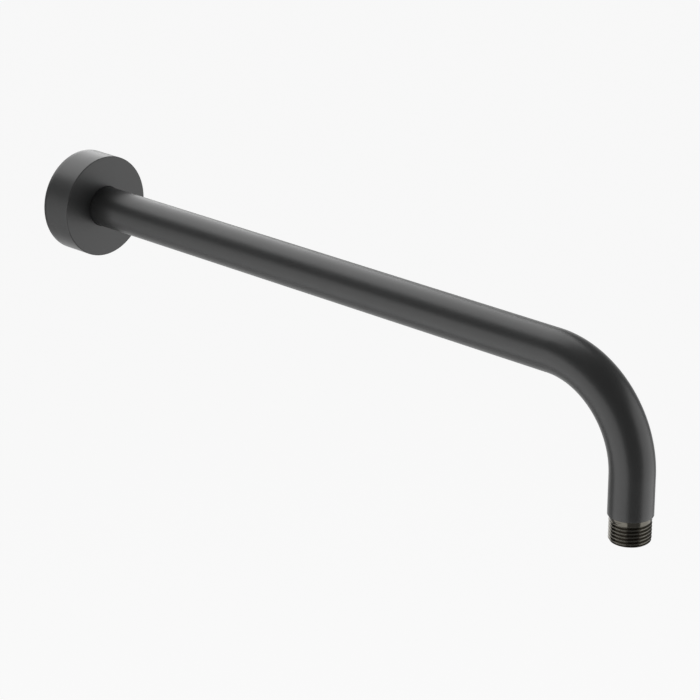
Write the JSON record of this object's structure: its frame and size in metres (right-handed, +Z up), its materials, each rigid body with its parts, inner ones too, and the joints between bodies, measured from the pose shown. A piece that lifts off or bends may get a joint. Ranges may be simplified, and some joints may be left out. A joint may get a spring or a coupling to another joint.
{
  "type": "shower arm",
  "caption": "Wall-mounted round shower arm: a long straight tube with a right-angle bend down, a threaded outlet, a threaded wall end and a sliding wall flange.",
  "frame": {"origin": "centre of the flange's back face, on the axis of the arm, in the plane of the wall", "axes": "+Y into the wall along the arm's axis, so the arm reaches out along -Y; +Z up, so the outlet points down along -Z; +X to the right"},
  "size_m": [0.057, 0.4262, 0.112],
  "materials": {
    "arm_finish": "matte black powder coat on brass",
    "flange_finish": "matte black powder coat on brass",
    "nipple_plating": "bright black nickel plating",
    "seal_rubber": "smooth moulded rubber"
  },
  "bodies": {
    "arm": {"arm_tube": "arm_finish", "outlet_nipple": "nipple_plating", "inlet_nipple": "nipple_plating"},
    "seal": {"flange_seal": "seal_rubber"},
    "flange": {"flange": "flange_finish"}
  },
  "joints": [
    {"name": "flange_slide", "type": "slide", "parent": "arm", "child": "seal", "axis": [0, -1, 0], "range_m": [0, 0.33]},
    {"name": "flange_turn", "type": "hinge", "parent": "seal", "child": "flange", "pos_m": [0, -0.01525, 0], "axis": [0, -1, 0], "continuous": true}
  ]
}
